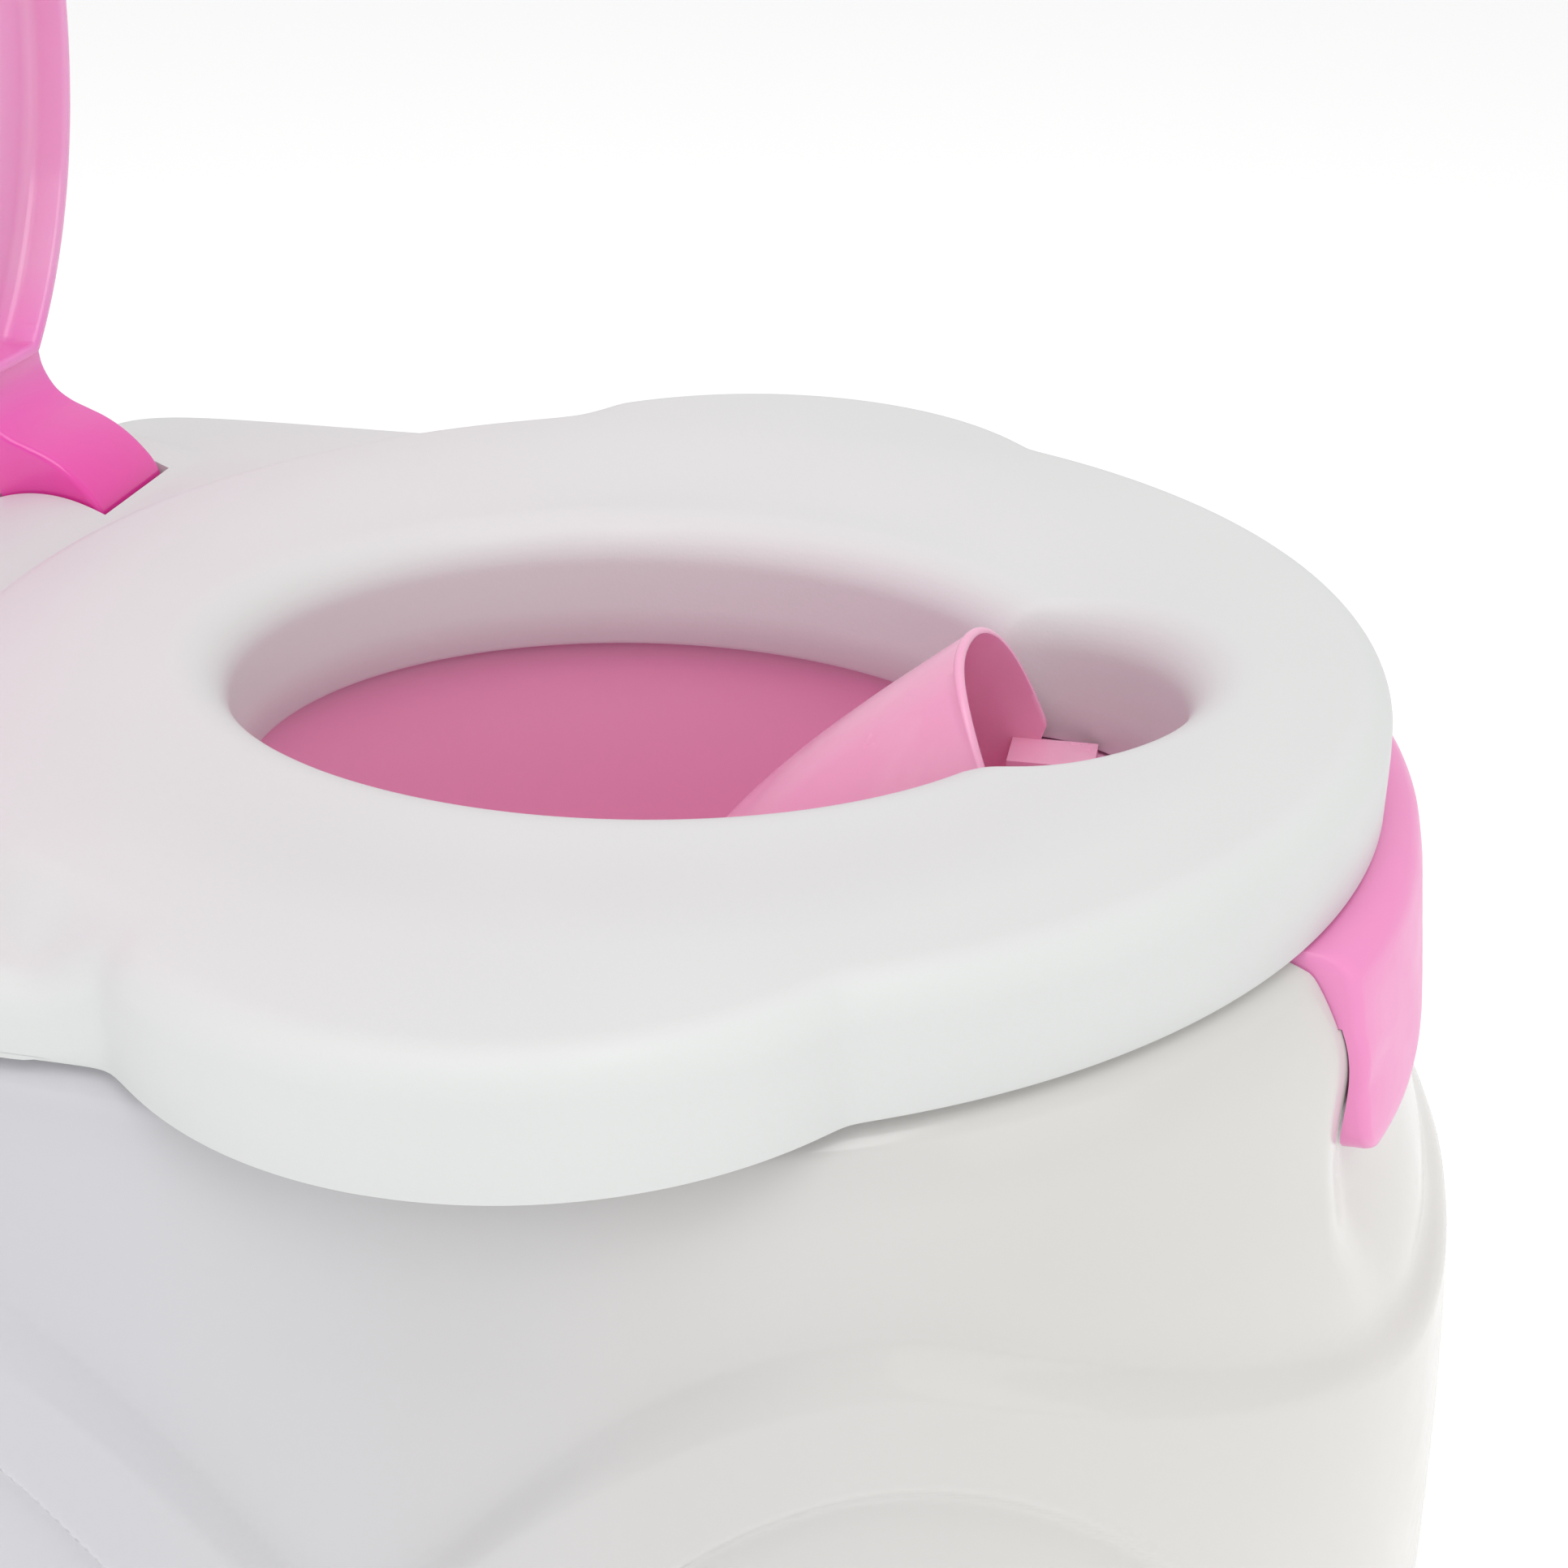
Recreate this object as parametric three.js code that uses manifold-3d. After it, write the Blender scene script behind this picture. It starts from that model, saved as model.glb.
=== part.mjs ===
// Potty training chair: a moulded base, a lift-out bowl with a front grip, a clip-on splash guard,
// a contoured seat with side grips and a hinged lid.
// Millimetres. +Z is up, the chair faces -Y, and the origin is on the floor under the middle of its box.
import * as THREE from 'three';
import { mergeVertices } from 'three/addons/utils/BufferGeometryUtils.js';
import Module from 'manifold-3d';

const wasm = await Module();
wasm.setup();

// ---- driving dimensions ----
const ORIGIN_SHIFT = -13.1;    // moves the seat so that the whole chair is centred on the origin
const SEAT_TOP = 222;          // height of the seat beside its hole
const GAP = 0.35;              // clearance between pieces that rest on each other
const STEPS = 88;              // points round each moulded outline

const SEAT_FRONT = { half: 134.5, long: 139.5 }; // round front of the seat
const LOBE_X = 78;             // side grip lobes, drawn as circles
const LOBE_Y = -4;
const LOBE_R = 72;
const DECK_HALF = 129;         // straight-sided rear deck that carries the hinge
const DECK_REAR = 174;
const DECK_DROP = 5;           // the deck's top lies this far below SEAT_TOP
const SKIRT = 18;              // the seat's skirt ends this far below SEAT_TOP
const CREST = 4.5;             // the seat's outer crest stands this far above SEAT_TOP
const WALL = 3;                // wall of the white mouldings

const HOLE_Y = -8;             // centre that the hole's outline is drawn round
const HOLE_MAIN = { y: 2, long: 78, half: 63 };
const HOLE_FRONT = { y: -70, r: 33 };
const HOLE_DEPTH = 28;         // the hole's inner wall ends this far below SEAT_TOP

const PIVOT = { y: 152, z: 218 }; // lid hinge axis
const RIDGE = { r: 30, top: 222, half: 102, end: 8 }; // low round ridge over the hinge axis
const SCOOP_R = 15.28;         // round slot in the deck that each hinge ear turns in
const PIN = { r: 2.5, length: 46 };
const EAR = { x: 68, width: 30 };
const LID = { centre: 142, half: 129, long: 142, off: 21.2, plate: 2.6, skirt: 12.2, foot: 28 };
const LEAN = 4;                // degrees that the open lid leans back on its stop
const OVAL_POWER = 2.1;        // how square the lid's oval is

const BASE_TOP = SEAT_TOP - SKIRT - GAP;
const FRONT_POWER = 2.2;       // how square the base is in front of its middle, and behind it
const REAR_POWER = 3.4;
const RIM = { half: 128, front: 134, rear: 169 };
const LEDGE = SEAT_TOP - 32;   // inner ledge that the bowl's flange rests on
const LEDGE_LIP = 9;           // the lip round the ledge's opening hangs this far down
// The raised arches round the feet: where each one stands in degrees from the front, how far below
// SEAT_TOP its band and its inner panel start, how fast they fall away, and how far they stand out.
const ARCH = { front: 62, rear: 128, top: 54, fall: 0.055, slope: 1.08, dip: 99, sideDip: 114, out: 4.5 };
const PANEL = { top: 76, fall: 0.085, sunk: 4 };
const NOTCH = { turn: 25, sunk: 5 }; // hollow in the base's front, under the grip
const FOOT = { r: 11, height: 4, boss: 15, front: [100, -100], rear: [103, 131] };
const BUMPER = { r: 6, x: 78, out: 214, height: 10.2 };

const BOWL_WALL = 2.6;
const BOWL_DEPTH = 106;
const FLANGE = 3;
const CUP_GROW = 6;            // the cup's mouth is this much wider than the hole's main oval
const GRIP_FIT = 0.9;          // clearance behind the grip
const GRIP_EDGE = 3;           // least thickness of the grip
const GRIP_GAP = 59.4;          // half width of the gap in the base's rim that the grip comes out by
const GUARD_WALL = 2;
const PEG = { x: 22, y: -78, r: 3 }; // pegs that locate the splash guard on the bowl

const white = { color: 0xe6e6e6, roughness: 0.55, metalness: 0 };
const gloss = { color: 0xdcdbdd, roughness: 0.25, metalness: 0 };
const pink = { color: 0xe88cb8, roughness: 0.3, metalness: 0 };
const clearPink = { color: 0xf08ac4, roughness: 0.2, metalness: 0 };
const rubber = { color: 0xc9c9cc, roughness: 0.8, metalness: 0 };
const pinWhite = { color: 0xd8d8da, roughness: 0.4, metalness: 0 };

// ---- small helpers ----
const rad = THREE.MathUtils.degToRad;
const smooth = THREE.MathUtils.smoothstep;
const lerp = THREE.MathUtils.lerp;
const blendMax = (a, b, k) => 0.5 * (a + b + Math.sqrt((a - b) ** 2 + k * k));

function solidOf(geometry) {
  const bare = geometry.clone();
  bare.deleteAttribute('normal');
  bare.deleteAttribute('uv');
  const merged = mergeVertices(bare, 1e-4);
  return new wasm.Manifold(new wasm.Mesh({
    numProp: 3,
    vertProperties: new Float32Array(merged.attributes.position.array),
    triVerts: new Uint32Array(merged.index.array),
  }));
}

function geometryOf(solid) {
  const mesh = solid.getMesh();
  const geometry = new THREE.BufferGeometry();
  geometry.setAttribute('position', new THREE.BufferAttribute(new Float32Array(mesh.vertProperties), 3));
  geometry.setIndex(new THREE.BufferAttribute(new Uint32Array(mesh.triVerts), 1));
  return geometry;
}

// A round bar along X, centred on (x, y, z).
function barX(r, length, x, y, z, sides = 24) {
  return solidOf(new THREE.CylinderGeometry(r, r, length, sides).rotateZ(Math.PI / 2).translate(x, y, z));
}

// A skin through rings of equal length. ends: 'loop' joins the last ring to the first, 'fan' closes
// each end on a point in the middle of its ring, and 'strip' closes each end of a thin folded ring
// across from its first half to its second.
function skin(rings, ends) {
  const count = rings[0].length;
  const points = rings.flat();
  const index = [];
  const last = ends === 'loop' ? rings.length : rings.length - 1;
  for (let r = 0; r < last; r += 1) {
    const a = r * count;
    const b = ((r + 1) % rings.length) * count;
    for (let i = 0; i < count; i += 1) {
      const j = (i + 1) % count;
      index.push(a + i, a + j, b + j, a + i, b + j, b + i);
    }
  }
  if (ends === 'fan') {
    const close = (start, flip) => {
      const middle = new THREE.Vector3();
      for (let i = 0; i < count; i += 1) middle.add(points[start + i]);
      points.push(middle.divideScalar(count));
      for (let i = 0; i < count; i += 1) {
        const pair = [start + i, start + (i + 1) % count];
        index.push(points.length - 1, ...(flip ? pair.reverse() : pair));
      }
    };
    close(0, true);
    close((rings.length - 1) * count, false);
  }
  if (ends === 'strip') {
    const top = (rings.length - 1) * count;
    for (let i = 0; i < count / 2 - 1; i += 1) {
      const [a, b, c, d] = [i, i + 1, count - 2 - i, count - 1 - i];
      index.push(b, a, d, b, d, c, top + a, top + b, top + c, top + a, top + c, top + d);
    }
  }
  let volume = 0;
  for (let t = 0; t < index.length; t += 3) {
    const [p, q, s] = [points[index[t]], points[index[t + 1]], points[index[t + 2]]];
    volume += p.dot(new THREE.Vector3().crossVectors(q, s));
  }
  if (volume < 0) index.reverse();
  const geometry = new THREE.BufferGeometry();
  const numbers = points.flatMap((p) => p.toArray());
  geometry.setAttribute('position', new THREE.Float32BufferAttribute(numbers, 3));
  geometry.setIndex(index);
  return geometry;
}

const angles = Array.from({ length: STEPS }, (_, i) => (i / STEPS) * 2 * Math.PI);
const ring = (radius, height, cy = 0) => angles.map((a) => {
  const r = radius(a);
  const x = r * Math.cos(a);
  const y = cy + r * Math.sin(a);
  return new THREE.Vector3(x, y, typeof height === 'function' ? height(x, y) : height);
});

// Distance along a ray at angle a from (0, from) to the far side of a circle, or 0 if it misses.
function rayCircle(a, cx, cy, r, from = 0) {
  const along = cx * Math.cos(a) + (cy - from) * Math.sin(a);
  const off = cx ** 2 + (cy - from) ** 2 - along ** 2;
  return off < r * r && along + Math.sqrt(r * r - off) > 0 ? along + Math.sqrt(r * r - off) : 0;
}

function superEllipse(a, half, long, n) {
  return ((Math.abs(Math.cos(a)) / half) ** n + (Math.abs(Math.sin(a)) / long) ** n) ** (-1 / n);
}

// ---- outlines ----
function seatOutline(a) {
  const lobe = rayCircle(a, Math.cos(a) < 0 ? -LOBE_X : LOBE_X, LOBE_Y, LOBE_R);
  const deck = Math.sin(a) > 0 ? superEllipse(a, DECK_HALF, DECK_REAR, 16) : 0;
  const body = superEllipse(a, SEAT_FRONT.half, SEAT_FRONT.long, 2);
  return blendMax(blendMax(body, lobe, 2), deck, 2) - 0.4;
}

// The main oval of the hole, grown outwards, as a distance from (0, HOLE_Y).
function mainOval(a, grow = 0) {
  const [c, s] = [Math.cos(a) / (HOLE_MAIN.half + grow), Math.sin(a) / (HOLE_MAIN.long + grow)];
  const [k, m] = [(HOLE_MAIN.y - HOLE_Y) / (HOLE_MAIN.long + grow), c * c + s * s];
  return (s * k + Math.sqrt(s * s * k * k - m * (k * k - 1))) / m;
}

function holeOutline(a) {
  return blendMax(mainOval(a), rayCircle(a, 0, HOLE_FRONT.y, HOLE_FRONT.r, HOLE_Y), 3) - 0.3;
}

// Top of the seat without its ridge: a crest round the outside that dishes to the hole, and a lower
// deck behind it.
function deckHeight(x, y) {
  const rho = Math.hypot(x, y);
  const dish = CREST * smooth(rho, 78, 118);
  const onDeck = smooth(y, 38, 62) * smooth(rho, 124, 138);
  return SEAT_TOP + lerp(dish, -DECK_DROP, onDeck);
}

function seatHeight(x, y) {
  const ground = deckHeight(x, y);
  const arc = Math.sqrt(Math.max(RIDGE.r ** 2 - (y - PIVOT.y) ** 2, 0));
  const rise = Math.max(RIDGE.top - RIDGE.r + arc - ground, 0);
  return ground + rise * (1 - smooth(Math.abs(x), RIDGE.half - RIDGE.end, RIDGE.half));
}

// ---- base ----
// Each row is the height below SEAT_TOP, then the half width, the front reach and the rear reach.
const BASE_ROWS = [
  [18.8, 127, 133, 168], [21, 128.6, 135.4, 169.6], [26, 130.5, 138, 170.5], [34, 132.5, 141, 171.5],
  [46, 135, 145, 172], [56, 136.5, 147.5, 172.3], [66, 138, 150, 172.5], [76, 139.3, 152.6, 173],
  [86, 140.3, 154, 173.3], [98, 141.2, 155.5, 173.5], [112, 142.3, 157, 174], [128, 143.5, 159, 174.5],
  [146, 144.5, 160.5, 175], [164, 145.3, 161.5, 175], [184, 145.5, 162, 175], [202, 145, 161, 174.5],
  [214, 143.5, 159.5, 173.3], [217.6, 141.5, 157.5, 171.3],
];

function wallRadius(a, half, front, rear) {
  const [long, power] = Math.sin(a) < 0 ? [front, FRONT_POWER] : [rear, REAR_POWER];
  return superEllipse(a, half, long, power);
}

const rimRadius = (a, inset) => wallRadius(a, RIM.half, RIM.front, RIM.rear) - inset;

function rowAt(drop) {
  const next = BASE_ROWS.findIndex((row) => row[0] >= drop);
  const [a, b] = [BASE_ROWS[Math.max(next - 1, 0)], BASE_ROWS[next]];
  const t = b[0] > a[0] ? (drop - a[0]) / (b[0] - a[0]) : 0;
  return a.map((value, i) => lerp(value, b[i], t));
}

// How far the hollow under the bowl's grip cuts into the wall in the direction (x, y), as a negative.
function notch(x, y, drop) {
  const turn = Math.abs(THREE.MathUtils.radToDeg(Math.atan2(x, -y)));
  const across = 1 - smooth(turn, NOTCH.turn - 4, NOTCH.turn + 3);
  return -NOTCH.sunk * across * smooth(drop, 34, 62) * (1 - smooth(drop, 66, 96));
}

// How far the raised feet arches and that hollow stand out of the wall.
function relief(a, drop) {
  const turn = Math.abs(THREE.MathUtils.radToDeg(Math.atan2(Math.cos(a), -Math.sin(a))));
  const away = Math.min((turn - ARCH.front) ** 2, (turn - ARCH.rear) ** 2);
  const ahead = turn < ARCH.front;
  const dip = ahead ? ARCH.dip : ARCH.sideDip;
  const fall = ahead ? Math.sqrt(11 + ARCH.slope ** 2 * away) - 3.3 : ARCH.fall * away;
  const outer = -blendMax(-(ARCH.top + fall), -dip, 6);
  const inner = PANEL.top + PANEL.fall * away;
  const band = ARCH.out * smooth(drop, outer - 3, outer + 5);
  const panel = -PANEL.sunk * smooth(drop, inner - 3, inner + 4);
  return (band + panel) * (1 - smooth(drop, 180, 206)) + notch(Math.cos(a), Math.sin(a), drop);
}

function makeBase() {
  const outer = (drop, inset = 0) => {
    const [, half, front, rear] = rowAt(drop);
    return ring((a) => wallRadius(a, half, front, rear) + relief(a, drop) - inset, SEAT_TOP - drop);
  };
  const opening = (grow, z) => ring((a) => holeOutline(a) + 10 + grow, z, HOLE_Y);
  const rings = [
    ...BASE_ROWS.map((row) => outer(row[0])).reverse(),
    ring((a) => rimRadius(a, 2), BASE_TOP),
    ring((a) => rimRadius(a, 5.5), BASE_TOP),
    ring((a) => rimRadius(a, 6), LEDGE),
    opening(0, LEDGE),
    opening(0, LEDGE - LEDGE_LIP),
    opening(WALL, LEDGE - LEDGE_LIP),
    opening(WALL, LEDGE - WALL),
    ring((a) => rimRadius(a, 8), LEDGE - WALL),
    ...[46, 66, 98, 146, 202].map((drop) => outer(drop, WALL + 0.6)),
    outer(217.6, WALL - 1),
  ];
  let shell = solidOf(skin(rings, 'loop'));
  for (const [x, y] of [FOOT.front, FOOT.rear]) {
    for (const side of [-1, 1]) {
      const boss = new THREE.CylinderGeometry(FOOT.boss, FOOT.boss, 24, 24).rotateX(Math.PI / 2);
      shell = shell.add(solidOf(boss.translate(side * x, y, FOOT.height + GAP + 12)));
    }
  }
  const gap = new THREE.BoxGeometry(2 * GRIP_GAP, 60, BASE_TOP - LEDGE + 2);
  return geometryOf(shell.subtract(solidOf(gap.translate(0, -142, (BASE_TOP + LEDGE) / 2 + 1))));
}

// ---- seat ----
function makeSeat() {
  const out = (inset, drop, top = seatHeight) => ring(
    (a) => seatOutline(a) - inset,
    (x, y) => top(x, y) - drop,
  );
  const outFlat = (inset, z) => ring((a) => seatOutline(a) - inset, z);
  const hole = (grow, drop) => ring(
    (a) => holeOutline(a) + grow,
    (x, y) => seatHeight(x, y) - drop,
    HOLE_Y,
  );
  const holeFlat = (grow, z) => ring((a) => holeOutline(a) + grow, z, HOLE_Y);
  const between = (outer, inner, t, drop = 0) => outer.map((p, i) => {
    const [x, y] = [lerp(p.x, inner[i].x, t), lerp(p.y, inner[i].y, t)];
    return new THREE.Vector3(x, y, seatHeight(x, y) - drop);
  });
  const [edge, lip] = [out(9, 0.2), hole(10, 0.2)];
  const [underEdge, underLip] = [out(9, WALL + 0.8, deckHeight), hole(10, WALL + 0.8)];
  const rings = [
    outFlat(0, SEAT_TOP - SKIRT), out(0.8, 8), out(2, 4.6), out(4.8, 1.7), edge,
    ...[0.08, 0.16, 0.24, 0.32, 0.4, 0.54, 0.7, 0.85].map((t) => between(edge, lip, t)),
    lip, hole(4.5, 1.8), hole(1.4, 5), hole(0, 10), holeFlat(-1, SEAT_TOP - HOLE_DEPTH),
    holeFlat(1.8, SEAT_TOP - HOLE_DEPTH), hole(3.2, 11), underLip,
    between(underEdge, underLip, 0.5, WALL), underEdge, out(4.6, 9.5), outFlat(3.4, SEAT_TOP - SKIRT),
  ];
  let seat = solidOf(skin(rings, 'loop'));
  for (const side of [-1, 1]) {
    seat = seat.subtract(barX(SCOOP_R, EAR.width + 1.8, side * EAR.x, PIVOT.y, PIVOT.z, 44));
    seat = seat.subtract(barX(PIN.r + GAP, PIN.length + 1, side * EAR.x, PIVOT.y, PIVOT.z, 20));
  }
  return geometryOf(seat);
}

// ---- bowl ----
// The bowl hangs in the base by its flange. Its front shelf carries the splash guard, and its grip
// comes out under the seat and down over the front of the base.
const GRIP_ROWS = [ // height below SEAT_TOP, half width, how far it stands out of the base's round front
  [18.7, 56.5, 6], [20.2, 57.6, 9.4], [23, 58, 9.6], [26.5, 58, 8.7], [30.9, 58, 7.3],
  [31.1, 58, 7.2], [38, 58, 5.4], [45, 58, 3.8], [51, 57.6, 2.6], [55, 56.2, 1.8],
  [57.6, 53.5, 1.1], [58.8, 50, 0.6],
];

function makeGrip() {
  const across = Array.from({ length: 17 }, (_, i) => Math.sin(((i - 8) / 8) * (Math.PI / 2)));
  const front = (x, drop) => {
    const row = rowAt(Math.max(drop, 19));
    return -row[2] * (1 - (Math.abs(x) / row[1]) ** FRONT_POWER) ** (1 / FRONT_POWER);
  };
  const rings = GRIP_ROWS.map(([drop, half, thick], i) => {
    const neck = i < 5;
    const z = SEAT_TOP - drop;
    const inner = across.map((t) => {
      const x = t * half;
      const y = front(x, drop);
      return new THREE.Vector3(x, neck ? -114 : y - notch(x, y, drop) - GRIP_FIT, z);
    });
    const outer = across.map((t, k) => {
      const y = front(t * half, drop) - thick * (0.85 + 0.15 * Math.sqrt(1 - t ** 6));
      return new THREE.Vector3(t * half, Math.min(y, inner[k].y - GRIP_EDGE), z);
    });
    return [...inner, ...outer.reverse()];
  });
  return solidOf(skin(rings, 'strip'));
}

function makeBowl() {
  const floor = LEDGE + GAP;
  const top = floor + FLANGE;
  const cup = (share, z, grow) => ring((a) => mainOval(a, grow) * share, z, HOLE_Y);
  const flange = (z) => ring((a) => holeOutline(a) + 20, z, HOLE_Y);
  const outside = CUP_GROW + BOWL_WALL;
  // share of the mouth's size, and share of the depth that it lies at
  const shape = [
    [0.3, 1], [0.55, 0.975], [0.72, 0.92], [0.84, 0.81], [0.91, 0.62], [0.95, 0.36], [0.98, 0.1],
  ];
  const rings = [
    ...shape.map(([share, depth]) => cup(share, top - BOWL_DEPTH * depth - BOWL_WALL, outside)),
    cup(1, floor, outside), flange(floor), flange(top), cup(1, top, CUP_GROW),
    ...shape.map(([share, depth]) => cup(share, top - BOWL_DEPTH * depth, CUP_GROW)).reverse(),
  ];
  let bowl = solidOf(skin(rings, 'fan')).add(makeGrip());
  for (const side of [-1, 1]) {
    const hole = new THREE.CylinderGeometry(PEG.r + GAP, PEG.r + GAP, 12, 20).rotateX(Math.PI / 2);
    bowl = bowl.subtract(solidOf(hole.translate(side * PEG.x, PEG.y, floor)));
  }
  return geometryOf(bowl);
}

// ---- splash guard ----
// A hump that leans forward over the front of the bowl, open towards the front.
function makeGuard() {
  const shelf = LEDGE + GAP + FLANGE + GAP;
  const turns = Array.from({ length: 25 }, (_, i) => rad(-90 + i * 7.5));
  const rim = (t) => {
    const back = 1 - Math.cos(t);
    return new THREE.Vector3(29 * Math.sin(t), -60 - 15 * back, SEAT_TOP + 4 - 27 * back ** 1.3);
  };
  const foot = (t) => new THREE.Vector3(31 * Math.sin(t), -66 + 62 * Math.cos(t), SEAT_TOP - 52);
  const wall = (p, t, v) => p.clone().setY(p.y + 5 * Math.sin(Math.PI * v) * Math.cos(t));
  const inward = (t) => new THREE.Vector3(-Math.sin(t), -Math.cos(t), 0).setLength(GUARD_WALL);
  const rings = Array.from({ length: 9 }, (_, k) => {
    const v = k / 8;
    const outer = turns.map((t) => wall(foot(t).lerp(rim(t), v), t, v));
    return [...outer, ...outer.map((p, i) => p.clone().add(inward(turns[i]))).reverse()];
  });
  let guard = solidOf(skin(rings, 'strip'));
  for (const side of [-1, 1]) {
    const plate = new THREE.BoxGeometry(11, 17, 2.4).translate(side * PEG.x, PEG.y + 1, shelf + 1.2);
    const peg = new THREE.CylinderGeometry(PEG.r, PEG.r, 8, 20).rotateX(Math.PI / 2);
    guard = guard.add(solidOf(plate)).add(solidOf(peg.translate(side * PEG.x, PEG.y, shelf - 3)));
  }
  return geometryOf(guard);
}

// ---- lid ----
// A profile drawn in the YZ plane, carried along X for a length centred on x.
function alongX(shape, length, x, curveSegments) {
  const bar = new THREE.ExtrudeGeometry(shape, { depth: length, bevelEnabled: false, curveSegments });
  return solidOf(bar.rotateY(Math.PI / 2).rotateX(Math.PI / 2).translate(x - length / 2, 0, 0));
}

// Drawn standing up on the hinge axis: Z runs away from the hinge, -Y is the side that faces the seat.
function makeLid() {
  const oval = (grow, y) => {
    const foot = LID.foot - LID.centre;
    return angles.map((a) => {
      const r = superEllipse(a, LID.half + grow, LID.long + grow, OVAL_POWER);
      const z = Math.max(r * Math.sin(a), foot - grow);
      return new THREE.Vector3(r * Math.cos(a), y, LID.centre + z);
    });
  };
  const face = LID.off - LID.plate;
  const rings = [
    oval(-30, LID.off), oval(-8, LID.off), oval(-2.6, LID.off - 1.4), oval(-0.4, LID.off - 4.6),
    oval(0, LID.off - LID.skirt), oval(-2.4, LID.off - LID.skirt), oval(-2.8, LID.off - 5),
    oval(-5, face - 0.6), oval(-9, face), oval(-30, face),
  ];
  let lid = solidOf(skin(rings, 'fan'));
  const edge = LID.off - LID.skirt;
  const ear = new THREE.Shape();
  ear.moveTo(-14.1, -2.5);
  ear.splineThru([
    new THREE.Vector2(-10.4, 5.8), new THREE.Vector2(-2.9, 12.5), new THREE.Vector2(4.9, 16.6),
    new THREE.Vector2(edge + 1.14, 24.2), new THREE.Vector2(edge + 0.94, LID.foot + 6.6),
  ]);
  ear.lineTo(LID.off - 1.22, LID.foot + 6.6);
  ear.splineThru([
    new THREE.Vector2(19, 24), new THREE.Vector2(12.5, 8), new THREE.Vector2(6, -4.5),
    new THREE.Vector2(-1, -9.4), new THREE.Vector2(-9, -8.4), new THREE.Vector2(-13.6, -4.6),
  ]);
  ear.closePath();
  for (const side of [-1, 1]) {
    lid = lid.add(alongX(ear, EAR.width, side * EAR.x, 5));
  }
  for (const side of [-1, 1]) {
    lid = lid.subtract(barX(PIN.r + GAP, EAR.width + 4, side * EAR.x, 0, 0, 20));
  }
  return geometryOf(lid);
}

function makeButton(r, height) {
  return new THREE.LatheGeometry([
    new THREE.Vector2(0, 0), new THREE.Vector2(r - 0.6, 0), new THREE.Vector2(r, 0.6),
    new THREE.Vector2(r, height), new THREE.Vector2(0, height),
  ], 20).rotateX(Math.PI / 2);
}

// ---- assembly ----
const chair = new THREE.Group();
chair.position.y = ORIGIN_SHIFT;

function place(name, geometry, finish, parent = chair) {
  const mesh = new THREE.Mesh(geometry, new THREE.MeshStandardMaterial(finish));
  mesh.name = name;
  parent.add(mesh);
  return mesh;
}

place('base_shell', makeBase(), gloss);
place('bowl', makeBowl(), pink);
place('splash_guard', makeGuard(), pink);
place('seat', makeSeat(), white);

for (const [end, [x, y]] of [['front', FOOT.front], ['rear', FOOT.rear]]) {
  for (const [side, sign] of [['left', 1], ['right', -1]]) {
    place(`foot_${end}_${side}`, makeButton(FOOT.r, FOOT.height), rubber).position.set(sign * x, y, 0);
  }
}

for (const [side, x] of [['left', EAR.x], ['right', -EAR.x]]) {
  const pin = new THREE.CylinderGeometry(PIN.r, PIN.r, PIN.length, 20).rotateZ(Math.PI / 2);
  place(`hinge_pin_${side}`, pin, pinWhite).position.set(x, PIVOT.y, PIVOT.z);
}

const lidHinge = new THREE.Group();
lidHinge.position.set(0, PIVOT.y, PIVOT.z);
lidHinge.rotation.x = -rad(LEAN);
chair.add(lidHinge);
place('lid', makeLid(), clearPink, lidHinge);
for (const [side, x] of [['left', BUMPER.x], ['right', -BUMPER.x]]) {
  const bumper = makeButton(BUMPER.r, BUMPER.height).rotateX(-Math.PI / 2);
  const foot = LID.off - LID.plate - GAP - BUMPER.height;
  place(`lid_bumper_${side}`, bumper, rubber, lidHinge).position.set(x, foot, BUMPER.out);
}

export default chair;
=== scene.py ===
"""Looks of the potty training chair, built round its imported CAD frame.

Outlines are worked in millimetres from the middle of the seat's round part, with +Z up and the front
towards -Y, as the frame's own parts are, and go into the frame in metres.
"""
import math

import bpy
import numpy as np
from mathutils import Matrix, Vector


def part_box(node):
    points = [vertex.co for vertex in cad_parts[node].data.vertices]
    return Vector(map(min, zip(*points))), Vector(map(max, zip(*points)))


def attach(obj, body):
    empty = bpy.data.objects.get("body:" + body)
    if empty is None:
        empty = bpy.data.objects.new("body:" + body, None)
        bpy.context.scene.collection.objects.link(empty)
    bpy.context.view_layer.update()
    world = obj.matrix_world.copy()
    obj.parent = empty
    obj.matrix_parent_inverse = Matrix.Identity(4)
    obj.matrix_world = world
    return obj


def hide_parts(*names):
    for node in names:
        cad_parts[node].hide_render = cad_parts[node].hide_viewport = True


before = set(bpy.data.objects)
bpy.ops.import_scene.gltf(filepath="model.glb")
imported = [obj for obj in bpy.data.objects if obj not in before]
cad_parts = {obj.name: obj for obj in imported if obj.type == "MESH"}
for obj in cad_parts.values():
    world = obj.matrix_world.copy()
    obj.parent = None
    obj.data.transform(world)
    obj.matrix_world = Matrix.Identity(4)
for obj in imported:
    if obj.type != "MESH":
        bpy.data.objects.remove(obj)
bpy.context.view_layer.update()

MM = 0.001


def middle_of(node):
    low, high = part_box(node)
    return (low + high) / 2 / MM


# ---- places that the frame gives ----
HINGE_REACH = 152.0  # from the middle of the seat's round part back to the hinge
HINGE_DROP = 4.0  # of the hinge axis below the seat's top
PIVOT = middle_of("hinge_pin_left")
PIVOT_AXIS = Vector((0, PIVOT.y, PIVOT.z))
SHIFT = PIVOT.y - HINGE_REACH
SEAT_TOP = PIVOT.z + HINGE_DROP
EAR_X = PIVOT.x
FEET = ("foot_front_left", "foot_front_right", "foot_rear_left", "foot_rear_right")

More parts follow.
